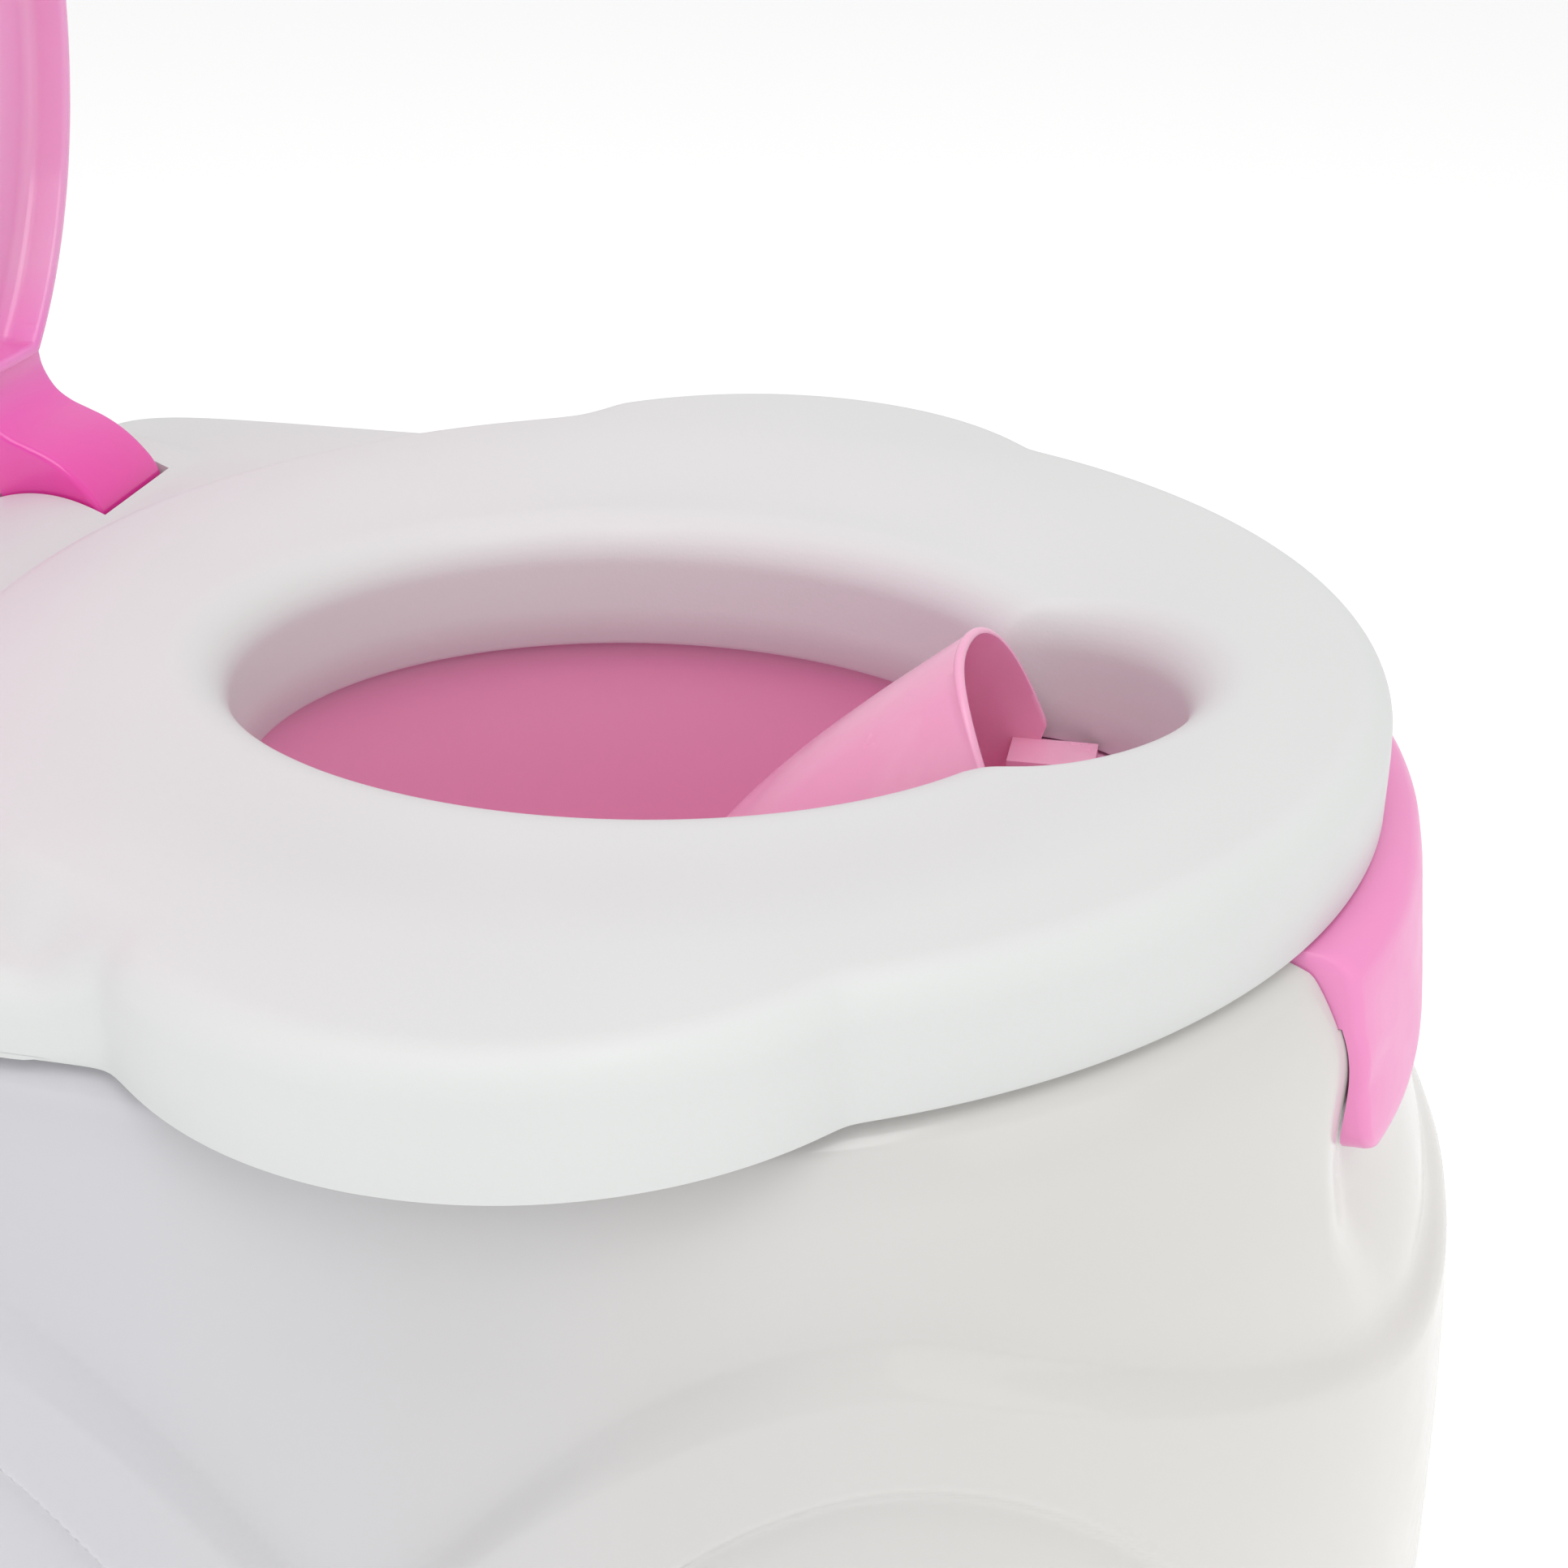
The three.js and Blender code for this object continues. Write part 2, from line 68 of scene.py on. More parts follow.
# ---- sizes of the mouldings ----
ROUND = 640  # points round a moulded outline
SHARP = math.radians(40)  # faces that meet more steeply than this keep a sharp edge
GAP = 0.35  # clearance between pieces that fit together
TRIM = 0.15  # keeps the seat's fine outline just inside the frame's faceted one
SEAT_FRONT = {"half": 134.5, "long": 139.5}
LOBE = {"x": 78.0, "y": -4.0, "r": 72.0}
DECK = {"half": 129.0, "rear": 174.0, "drop": 5.0}
DECK_START = {"y": (38.0, 62.0), "from_middle": (124.0, 138.0)}  # where the seat falls to its deck
DISH = {"rise": 4.5, "from_middle": (78.0, 118.0)}  # how the seat rises from its hole to its crest
SKIRT = 18.0
SKIN = 3.8
HOLE_Y = -8.0
HOLE_MAIN = {"y": 2.0, "long": 78.0, "half": 63.0}
HOLE_FRONT = {"y": -70.0, "r": 33.0}
HOLE_DEPTH = 28.0
RIDGE = {"r": 30.0, "rise": 4.0, "half": 102.0, "end": 8.0, "y": (118.0, 126.0), "sunk": 0.15}
SLOT = {"r": 15.28, "width": 31.8}  # through the deck under each ear of the lid
PIN = {"r": 2.5, "length": 46.0}
PEG = {"x": 22.0, "y": -78.0, "r": 3.0}  # on the splash guard, in the bowl's flange
EAR_WIDTH = 30.0
LEDGE = SEAT_TOP - 32.0
BASE_TOP = SEAT_TOP - SKIRT - GAP
FLANGE = 3.0
CUP = {"grow": 6.0, "depth": 106.0, "wall": 2.6}
LID = {"centre": 142.0, "half": 128.8, "long": 141.7, "off": 21.0, "plate": 2.6, "skirt": 12.1, "foot": 28.0}
LEAN = math.radians(4.0)  # of the open lid, backwards


# ---- numbers ----
def smooth(x, low, high):
    t = np.clip((x - low) / (high - low), 0.0, 1.0)
    return t * t * (3 - 2 * t)


def lerp(a, b, t):
    return a + (b - a) * t


def blend_max(a, b, k):
    return 0.5 * (a + b + np.sqrt((a - b) ** 2 + k * k))


def super_ellipse(a, half, long, n):
    return ((abs(np.cos(a)) / half) ** n + (abs(np.sin(a)) / long) ** n) ** (-1 / n)


def ray_circle(a, cx, cy, r, start=0.0):
    along = cx * np.cos(a) + (cy - start) * np.sin(a)
    off = cx**2 + (cy - start) ** 2 - along**2
    reach = along + np.sqrt(np.maximum(r * r - off, 0.0))
    return np.where((off < r * r) & (reach > 0), reach, 0.0)


def quarter(steps):
    """Pairs that run along a quarter circle from (0, 1) to (1, 0)."""
    turn = np.linspace(0, np.pi / 2, steps)
    return list(zip(1 - np.cos(turn), 1 - np.sin(turn)))


# ---- meshes ----
def make_mesh(name, points, faces):
    mesh = bpy.data.meshes.new(name)
    mesh.from_pydata((np.asarray(points) * MM).tolist(), [], faces)
    mesh.validate()
    piece = bpy.data.objects.new(name, mesh)
    bpy.context.scene.collection.objects.link(piece)
    shade(piece)
    return piece


def shade(piece):
    piece.data.polygons.foreach_set("use_smooth", [True] * len(piece.data.polygons))
    piece.data.set_sharp_from_angle(angle=SHARP)
    piece.data.update()


def skin(name, rings, ends, shift=(0.0, SHIFT, 0.0)):
    """A closed skin through rings of equal length.

    ends: "loop" joins the last ring to the first, "pole" closes each end on the middle of its ring,
    "flat" closes each end with one face, and "strip" closes each end of a folded ring across from its
    first half to its second.
    """
    rings = np.asarray(rings, float)
    rows, count = rings.shape[:2]
    points = rings.reshape(-1, 3)
    i = np.arange(count)
    j = (i + 1) % count
    quads = []
    for r in range(rows if ends == "loop" else rows - 1):
        a, b = r * count, ((r + 1) % rows) * count
        quads.append(np.stack([a + i, a + j, b + j, b + i], 1))
    quads = np.concatenate(quads)
    extra = []
    top = (rows - 1) * count
    if ends == "pole":
        points = np.vstack([points, rings[0].mean(0), rings[-1].mean(0)])
        extra += [[rows * count, int(q), int(p)] for p, q in zip(i, j)]
        extra += [[rows * count + 1, int(top + p), int(top + q)] for p, q in zip(i, j)]
    if ends == "flat":
        extra += [i[::-1].tolist(), (top + i).tolist()]
    if ends == "strip":
        for k in range(count // 2 - 1):
            strip = [k, k + 1, count - 2 - k, count - 1 - k]
            extra += [strip[::-1], [top + n for n in strip]]
    p, q, s, t = (points[quads[:, k]] for k in range(4))
    volume = np.einsum("ij,ij->", p, np.cross(q, s)) + np.einsum("ij,ij->", p, np.cross(s, t))
    faces = quads.tolist() + extra
    if volume < 0:
        faces = [face[::-1] for face in faces]
    return make_mesh(name, points + np.array(shift), faces)


def turned(count=ROUND):
    return np.arange(count) / count * 2 * np.pi


def around(radius, a, cy=0.0):
    r = radius(a)
    return r * np.cos(a), cy + r * np.sin(a)


def level(x, y, z):
    return np.column_stack([x, y, np.broadcast_to(z, x.shape)])


def bar_along_x(name, r, length, x, sides=72):
    """A plain round bar on the hinge axis, used to cut."""
    turn = turned(sides)
    rings = []
    for end in (-length / 2, length / 2):
        ring = [np.full(sides, x + end), HINGE_REACH + r * np.cos(turn), PIVOT.z + r * np.sin(turn)]
        rings.append(np.stack(ring, 1))
    return skin(name, rings, "pole")


def combine(piece, tool, operation):
    """Cuts the piece with the tool or joins the tool to it, and deletes the tool."""
    modifier = piece.modifiers.new(operation.lower(), "BOOLEAN")
    modifier.operation = operation
    modifier.object = tool
    modifier.solver = "EXACT"
    bpy.context.view_layer.objects.active = piece
    bpy.ops.object.modifier_apply(modifier=modifier.name)
    bpy.data.objects.remove(tool)


def finish_piece(piece, body, slot, material, *nodes):
    """Hands a piece to the frame."""
    piece.data.materials.clear()
    piece.data.materials.append(material)
    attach(piece, body)
    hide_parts(*nodes)


# ---- camera, floor and light ----
def add_camera():
    data = bpy.data.cameras.new("camera")
    data.lens = 52.2
    data.sensor_width = 36
    data.clip_start = 0.01
    camera = bpy.data.objects.new("camera", data)
    camera.location = (-0.381, -0.121, 0.395)
    camera.rotation_euler = Vector((0.8703, 0.1834, -0.4571)).to_track_quat("-Z", "Y").to_euler()
    bpy.context.scene.collection.objects.link(camera)
    bpy.context.scene.camera = camera


def add_light(name, place, target, size, power, colour):
    data = bpy.data.lights.new(name, "AREA")
    data.shape = "RECTANGLE"
    data.size, data.size_y = size
    data.energy = power
    data.color = colour
    light = bpy.data.objects.new(name, data)
    light.location = place
    light.rotation_euler = (Vector(target) - Vector(place)).to_track_quat("-Z", "Y").to_euler()
    bpy.context.scene.collection.objects.link(light)


def add_studio():
    world = bpy.data.worlds.new("studio")
    world.use_nodes = True
    world.node_tree.nodes["Background"].inputs["Color"].default_value = (1.0, 1.0, 1.0, 1.0)
    world.node_tree.nodes["Background"].inputs["Strength"].default_value = 0.74
    bpy.context.scene.world = world
    middle = (0, 0, 0.2)
    add_light("overhead", (-0.45, -0.1, 1.75), middle, (1.2, 1.2), 9.5, (1.0, 0.995, 0.985))
    add_light("front_warm", (-0.9, -1.6, 0.9), middle, (1.0, 1.4), 2.0, (1.0, 0.975, 0.93))
    add_light("back_cool", (-1.5, 0.9, 0.9), middle, (1.0, 1.4), 1.4, (0.93, 0.95, 1.0))
    bpy.context.scene.view_settings.view_transform = "Standard"


def add_floor():
    side = 12000.0
    corners = [(-side, -side, 0), (side, -side, 0), (side, side, 0), (-side, side, 0)]
    floor = make_mesh("floor", corners, [[0, 1, 2, 3]])
    f = Finish("floor_pale")
    f.set("Base Color", (0.97, 0.97, 0.97, 1.0))
    f.set("Roughness", 0.8)
    f.set("Emission Color", (1.0, 1.0, 1.0, 1.0))
    f.set("Emission Strength", 0.2)
    floor.data.materials.append(f.material)


# ---- materials ----
def srgb(*values):
    """A linear colour from sRGB values of 0 to 255."""
    shares = [v / 255 for v in values]
    return tuple(s / 12.92 if s <= 0.04045 else ((s + 0.055) / 1.055) ** 2.4 for s in shares)


def scaled(colour, k):
    return tuple(min(1.0, c * k) for c in colour)


class Finish:
    """A material that is being built from nodes."""

    def __init__(self, name):
        self.material = bpy.data.materials.new(name)
        self.material.use_nodes = True
        self.tree = self.material.node_tree
        self.shader = self.tree.nodes["Principled BSDF"]
        self.place = self.add("ShaderNodeTexCoord").outputs["Object"]

    def add(self, kind, **sockets):
        node = self.tree.nodes.new(kind)
        for key, value in sockets.items():
            node.inputs[key].default_value = value
        return node

    def link(self, output, target):
        self.tree.links.new(output, target)

    def set(self, socket, value):
        self.shader.inputs[socket].default_value = value

    def noise(self, scale, detail=3.0, stretch=(1, 1, 1)):
        mapping = self.add("ShaderNodeMapping", Scale=stretch)
        self.link(self.place, mapping.inputs["Vector"])
        node = self.add("ShaderNodeTexNoise", Scale=scale, Detail=detail)
        self.link(mapping.outputs["Vector"], node.inputs["Vector"])
        return node.outputs["Fac"]

    def ramp(self, source, *stops):
        node = self.add("ShaderNodeValToRGB")
        elements = node.color_ramp.elements
        while len(elements) < len(stops):
            elements.new(0.5)
        for element, (position, colour) in zip(elements, stops):
            element.position = position
            element.color = (*colour, 1.0)
        self.link(source, node.inputs["Fac"])
        return node.outputs["Color"]

    def span(self, source, start, end, low, high):
        node = self.add("ShaderNodeMapRange")
        for key, value in (("From Min", start), ("From Max", end), ("To Min", low), ("To Max", high)):
            node.inputs[key].default_value = value
        self.link(source, node.inputs["Value"])
        return node.outputs["Result"]

    def along(self, axis):
        node = self.add("ShaderNodeSeparateXYZ")
        self.link(self.place, node.inputs["Vector"])
        return node.outputs[axis]

    def blend(self, share, a, b, mode="MIX"):
        node = self.add("ShaderNodeMix")
        node.data_type = "RGBA"
        node.blend_type = mode
        for name, value in (("Factor_Float", share), ("A_Color", a), ("B_Color", b)):
            socket = next(s for s in node.inputs if s.identifier == name)
            if isinstance(value, bpy.types.NodeSocket):
                self.link(value, socket)
            else:
                socket.default_value = value if name == "Factor_Float" else (*value, 1.0)
        return next(s for s in node.outputs if s.identifier == "Result_Color")

    def bump(self, source, strength, distance, under=None):
        node = self.add("ShaderNodeBump", Strength=strength, Distance=distance)
        self.link(source, node.inputs["Height"])
        if under:
            self.link(under, node.inputs["Normal"])
        return node.outputs["Normal"]


def plastic(name, colour, rough, grain=0.1, drift=0.03, waves=0.15, level=0.5):
    """Moulded plastic: a colour that drifts a little, uneven gloss, a fine grain and slow sink waves."""
    f = Finish(name)
    low, high = scaled(colour, 1 - drift), scaled(colour, 1 + drift)
    f.colour = f.ramp(f.noise(11, 2), (0.35, low), (0.65, high))
    f.link(f.colour, f.shader.inputs["Base Color"])
    f.link(f.span(f.noise(70, 4), 0.3, 0.7, rough - 0.05, rough + 0.06), f.shader.inputs["Roughness"])
    slow = f.bump(f.noise(16, 1), waves, 0.002)
    f.link(f.bump(f.noise(1400, 3), grain, 0.0002, slow), f.shader.inputs["Normal"])
    f.set("Specular IOR Level", level)
    return f


def under_light(f, weight, radius, scale=0.01):
    f.set("Subsurface Weight", weight)
    f.set("Subsurface Radius", radius)
    f.set("Subsurface Scale", scale)


def seat_finish():
    return plastic("seat_white_satin", srgb(220, 222, 221), 0.5, grain=0.18, drift=0.012).material


def base_finish():
    """Glossy white with a painted light gradient: warmer and brighter towards the front, cooler and darker
    towards the back, standing in for warm light from the front and cool light from behind.
    """
    f = plastic("base_white_gloss", srgb(217, 217, 218), 0.2, grain=0.04, drift=0.012, waves=0.3)
    # painted light: the white is multiplied by a warm, bright tint at the front and a cool, darker tint at
    # the back
    painted_light_tint = f.ramp(
        f.span(f.along("Y"), -0.16, 0.16, 0.0, 1.0),
        (0.0, srgb(254, 252, 246)), (0.3, srgb(246, 244, 241)),
        (0.6, srgb(239, 238, 242)), (1.0, srgb(237, 236, 244)),
    )
    f.link(f.blend(1.0, f.colour, painted_light_tint, "MULTIPLY"), f.shader.inputs["Base Color"])
    under_light(f, 0.1, (0.5, 0.5, 0.5))
    f.set("Coat Weight", 0.25)
    f.set("Coat Roughness", 0.08)
    return f.material


def bowl_finish():
    """Pink, deeper in the thick grip than in the thin cup; the cup's pink is lifted as painted light,
    standing in for light that comes through its thin wall.
    """
    # painted light: the cup's pale pink is lighter than the moulding's own pink, for light shining through
    # the thin wall
    f = plastic("bowl_pink_semi_gloss", srgb(252, 182, 218), 0.34, grain=0.06, drift=0.012)
    grip = f.ramp(f.span(f.along("Y"), -0.135, -0.12, 0.0, 1.0), (0.0, (1, 1, 1)), (1.0, (0, 0, 0)))
    f.link(f.blend(grip, f.colour, srgb(240, 144, 198)), f.shader.inputs["Base Color"])
    return f.material


def guard_finish():
    """Pink with pale painted highlight streaks that run up the moulding, standing in for the streaky
    highlights on its glossy, see-through wall.
    """
    f = plastic("guard_pink_gloss", srgb(246, 172, 204), 0.22, grain=0.04, drift=0.02, waves=0.4)
    # painted highlight: long pale streaks up the wall, mixed into the pink
    highlight_streaks = f.noise(38, 4, (1.0, 1.0, 0.16))
    pale = f.ramp(highlight_streaks, (0.5, (0, 0, 0)), (0.72, (0.55, 0.55, 0.55)))
    f.link(f.blend(pale, f.colour, srgb(250, 200, 216)), f.shader.inputs["Base Color"])
    under_light(f, 0.2, (0.6, 0.25, 0.4))
    return f.material


def lid_finish():
    """Milky pink that is deep and hot in the thick ears, and stronger wherever it is seen edge on."""
    f = plastic("lid_pink_clear", srgb(249, 174, 218), 0.16, grain=0.03, drift=0.015, waves=0.35)
    facing = f.add("ShaderNodeLayerWeight", Blend=0.35).outputs["Facing"]
    edge_on = f.ramp(facing, (0.35, (0, 0, 0)), (0.9, (0.7, 0.7, 0.7)))
    plate = f.blend(edge_on, f.colour, srgb(240, 120, 184))
    hot = f.ramp(
        f.span(f.along("Z"), 0.2, 0.25, 0.0, 1.0),
        (0.0, srgb(232, 36, 146)), (0.3, srgb(248, 58, 170)), (1.0, srgb(255, 112, 212)),
    )
    share = f.ramp(f.span(f.along("Z"), 0.236, 0.262, 0.0, 1.0), (0.0, (1, 1, 1)), (1.0, (0, 0, 0)))
    f.link(f.blend(share, plate, hot), f.shader.inputs["Base Color"])
    f.set("Transmission Weight", 0.12)
    f.set("Coat Weight", 0.3)
    f.set("Coat Roughness", 0.06)
    under_light(f, 0.25, (0.6, 0.2, 0.4))
    return f.material


def rubber_finish(name, colour):
    return plastic(name, colour, 0.75, grain=0.35, drift=0.04, level=0.3).material


# ---- outlines ----
def seat_radius(a):
    cx = np.where(np.cos(a) < 0, -LOBE["x"], LOBE["x"])
    lobe = ray_circle(a, cx, LOBE["y"], LOBE["r"])
    body = super_ellipse(a, SEAT_FRONT["half"], SEAT_FRONT["long"], 2)
    deck = np.where(np.sin(a) > 0, super_ellipse(a, DECK["half"], DECK["rear"], 16), 0.0)
    return blend_max(blend_max(body, lobe, 0.8), deck, 2) - 0.4 - TRIM


def main_oval(a, grow=0.0):
    """The hole's main oval, grown outwards, as a distance from (0, HOLE_Y)."""
    half, long = HOLE_MAIN["half"] + grow, HOLE_MAIN["long"] + grow
    c, s = np.cos(a) / half, np.sin(a) / long
    k, m = (HOLE_MAIN["y"] - HOLE_Y) / long, c * c + s * s
    return (s * k + np.sqrt(s * s * k * k - m * (k * k - 1))) / m


def hole_radius(a):
    front = ray_circle(a, 0.0, HOLE_FRONT["y"], HOLE_FRONT["r"], HOLE_Y)
    return blend_max(main_oval(a), front, 3) - 0.3


def deck_height(x, y):
    """Top of the seat without its ridge: a crest that dishes to the hole, and a lower deck behind."""
    rho = np.hypot(x, y)
    dish = DISH["rise"] * smooth(rho, *DISH["from_middle"])
    on_deck = smooth(y, *DECK_START["y"]) * smooth(rho, *DECK_START["from_middle"])
    return SEAT_TOP + lerp(dish, -DECK["drop"], on_deck)


def seat_height(x, y):
    """Top of the seat with the low rounded ridge that carries the hinge."""
    ground = deck_height(x, y)
    arc = np.sqrt(np.maximum(RIDGE["r"] ** 2 - (y - HINGE_REACH) ** 2, 0.0))
    ridge = PIVOT.z + RIDGE["rise"] - RIDGE["r"] + arc
    ends = 1 - smooth(abs(x), RIDGE["half"] - RIDGE["end"], RIDGE["half"])
    return lerp(ground, blend_max(ground, ridge, 1.6) - RIDGE["sunk"], ends * smooth(y, *RIDGE["y"]))


# ---- seat ----
def seat_rings():
    a = turned()

    def out(inset, drop, z=None):
        x, y = around(lambda t: seat_radius(t) - inset, a)
        return level(x, y, seat_height(x, y) - drop if z is None else z)

    def hole(grow, drop, z=None):
        x, y = around(lambda t: hole_radius(t) + grow, a, HOLE_Y)
        return level(x, y, seat_height(x, y) - drop if z is None else z)

    def under(ring, drop):
        x, y = ring[:, 0], ring[:, 1]
        return level(x, y, deck_height(x, y) - drop)

    bottom = SEAT_TOP - SKIRT
    rings = [out(0.9, 0, bottom), out(0.25, 0, bottom + 0.25), out(0, 0, bottom + 0.9)]
    rings += [out(0.05, 13), out(0.1, 10), out(0.2, 8)]
    rings += [out(0.3 + 7.2 * s, 6.8 * d) for s, d in quarter(12)]
    rim, lip = rings[-1], hole(11, 0)
    for t in np.linspace(0, 1, 72)[1:-1]:
        x, y = lerp(rim[:, 0], lip[:, 0], t), lerp(rim[:, 1], lip[:, 1], t)
        rings.append(level(x, y, seat_height(x, y)))
    rings += [hole(11 * d, 10 * s) for s, d in quarter(14)]
    low = SEAT_TOP - HOLE_DEPTH
    rings += [hole(-0.5, 0, low + 9), hole(-0.9, 0, low + 1), hole(-0.4, 0, low + 0.2), hole(0.4, 0, low)]
    rings += [hole(1.6, 0, low), hole(3.2, 11)]
    inner, outer = hole(10, 0), out(9, 0)
    for t in np.linspace(0, 1, 30):
        rings.append(under(lerp(inner, outer, t), SKIN))
    rings += [out(4.6, 10), out(3.2, 0, bottom)]
    return rings


def add_seat(material):
    seat = skin("seat_moulding", seat_rings(), "loop")
    for side in (-1, 1):
        x = side * EAR_X
        combine(seat, bar_along_x("slot", SLOT["r"], SLOT["width"], x, 128), "DIFFERENCE")
        combine(seat, bar_along_x("bore", PIN["r"] + GAP, PIN["length"] + 1, x), "DIFFERENCE")
    shade(seat)
    finish_piece(seat, "seat", "seat_white", material, "seat")


# ---- base ----
RIM = (128.0, 134.0, 169.0)  # half width, reach to the front and reach to the rear
WALL = {"half": 128.6, "front": 134.4, "rear": 169.6}
FLARE = {"half": 16.6, "front": 27.4, "rear": 5.2}  # how much wider the wall grows on its way down
FLARE_LENGTH = 52.0
WALL_TOP = 18.8  # drops are measured down from SEAT_TOP
WALL_FOOT = 217.6
SHOULDER = 2.6
NOTCH = {"full": 21.0, "edge": 28.0, "narrowing": 4.0, "depth": 5.0}  # degrees from the front, then mm
ARCH = {
    "front": 62.0, "rear": 128.0, "top": 54.0, "slope": 1.08, "round": 11.0, "start": 3.3,
    "fall": 0.055, "dip": 99.0, "side_dip": 114.0, "out": 4.5,
}
PANEL = {"top": 76.0, "fall": 0.085, "sunk": 4.0}


def base_outline(a, half, front, rear):
    """Round at the front and squarer at the rear."""
    return np.where(np.sin(a) < 0, super_ellipse(a, half, front, 2.2), super_ellipse(a, half, rear, 3.4))


def wall_size(side, drop):
    """The wall's half width, or its reach to the front or rear, this far below SEAT_TOP."""
    return WALL[side] + FLARE[side] * (1 - math.exp(-max(drop - WALL_TOP, 0.0) / FLARE_LENGTH))


def fullness(drop):
    """How much fuller the base's shoulder is than its plain flare."""
    return SHOULDER * smooth(drop, WALL_TOP, 22) * (1 - smooth(drop, 30, 58))


def base_wall(a, drop, inset=0.0):
    """Distance of the base's wall from the middle, this far below SEAT_TOP."""
    top_edge = 1.6 * math.exp(-max(drop - WALL_TOP, 0.0) / 2.6)
    tuck = 4.6 * smooth(drop, 203, 219) ** 2 + top_edge - fullness(drop) + inset
    sizes = [wall_size(side, drop) for side in ("half", "front", "rear")]
    return base_outline(a, *sizes) + relief(a, drop) - tuck


def notch(turn, drop):
    """Depth of the hollow under the bowl's grip, this many degrees from the front."""
    narrowing = NOTCH["narrowing"] * smooth(drop, 64, 92)
    across = 1 - smooth(turn, NOTCH["full"] - narrowing, NOTCH["edge"] - narrowing)
    return NOTCH["depth"] * across * smooth(drop, 34, 62) * (1 - smooth(drop, 66, 96))


def relief(a, drop):
    """How far the raised arches round the feet stand out, with the hollow under the bowl's grip."""
    turn = abs(np.degrees(np.arctan2(np.cos(a), -np.sin(a))))
    ahead = ARCH["front"] - turn
    away = np.minimum(ahead**2, (turn - ARCH["rear"]) ** 2)
    steep = np.sqrt(ARCH["round"] + (ARCH["slope"] * ahead) ** 2) - ARCH["start"]
    fall = np.where(ahead > 0, steep, ARCH["fall"] * away)
    dip = np.where(ahead > 0, ARCH["dip"], ARCH["side_dip"])
    outer = -blend_max(-(ARCH["top"] + fall), -dip, 6)
    inner = PANEL["top"] + PANEL["fall"] * away
    band = ARCH["out"] * smooth(drop, outer - 3, outer + 5)
    panel = -PANEL["sunk"] * smooth(drop, inner - 3, inner + 4)
    return (band + panel) * (1 - smooth(drop, 180, 206)) - notch(turn, drop)


def add_base(material):
    a = turned()

    def wall(drop, inset=0.0):
        x, y = around(lambda t: base_wall(t, drop, inset), a)
        return level(x, y, SEAT_TOP - drop)

    def top(inset, z):
        x, y = around(lambda t: base_outline(t, *RIM) - inset, a)
        return level(x, y, z)

    def opening(grow, z):
        x, y = around(lambda t: hole_radius(t) + 10 + grow, a, HOLE_Y)
        return level(x, y, z)

    drops = np.concatenate([np.linspace(WALL_TOP, 24, 7), np.linspace(25.5, WALL_FOOT, 128)])
    rings = [wall(drop) for drop in drops[::-1]]
    rings += [top(2.2, BASE_TOP), top(5.5, BASE_TOP), top(5.9, BASE_TOP - 0.6), top(6, LEDGE + 0.6)]
    rings += [top(6.6, LEDGE), opening(0.8, LEDGE), opening(0, LEDGE - 0.8), opening(0, LEDGE - 9)]
    rings += [opening(3, LEDGE - 9), opening(3, LEDGE - 3), top(9, LEDGE - 3)]
    rings += [wall(drop, 3.4) for drop in np.linspace(46, 212, 56)]
    rings += [wall(WALL_FOOT, 2.0)]
    shell = skin("base_moulding", rings, "loop")
    low, high = (-GRIP_WAY, -172, LEDGE + 0.01), (GRIP_WAY, -112, BASE_TOP + 2)
    combine(shell, skin("rim_gap", box_rings(low, high), "pole"), "DIFFERENCE")
    for node in FEET:
        centre = middle_of(node)
        boss = lathe("boss", [(0, 4.4), (14, 4.4), (14.8, 5.2), (15, 8), (15, 27.5), (0, 27.5)], centre)
        combine(shell, boss, "UNION")
    shade(shell)
    finish_piece(shell, "base", "base_gloss_white", material, "base_shell")


def box_rings(low, high):
    (x0, y0, z0), (x1, y1, z1) = low, high
    corners = [(x0, y0), (x1, y0), (x1, y1), (x0, y1)]
    return [[(x, y, z) for x, y in corners] for z in (z0, z1)]


def lathe(name, profile, centre, sides=96):
    """A turned piece about an upright axis, its profile given as (radius, height above the floor)."""
    turn = turned(sides)
    rings = []
    for r, z in profile:
        r = max(r, 0.01)
        rings.append(np.column_stack([r * np.cos(turn), r * np.sin(turn), np.full(sides, z)]))
    return skin(name, rings, "pole", (centre.x, centre.y, 0.0))


# ---- bowl ----
GRIP_ROWS = [  # height below SEAT_TOP, half width, how far it stands out of the base's round front
    (18.7, 56.4, 4.6), (19.2, 57.0, 7.0), (20.2, 57.5, 8.8), (21.6, 57.8, 9.5), (23.0, 57.9, 9.5),
    (26.5, 57.9, 8.6), (30.9, 57.9, 7.2), (38.0, 57.9, 5.3), (45.0, 57.8, 3.8), (51.0, 57.5, 2.7),
    (53.5, 57.0, 2.3), (55.4, 56.0, 1.9), (57.0, 54.5, 1.4), (58.1, 52.6, 0.7), (58.7, 50.8, -0.3),
]
GRIP_FIT = 0.5  # clearance behind the grip
GRIP_WAY = 58.5  # half width of the way that the grip takes through the base's rim
NECK_END = 31.8  # how far down the grip is still joined to the bowl
NECK_ROOT = -114.0  # where it joins


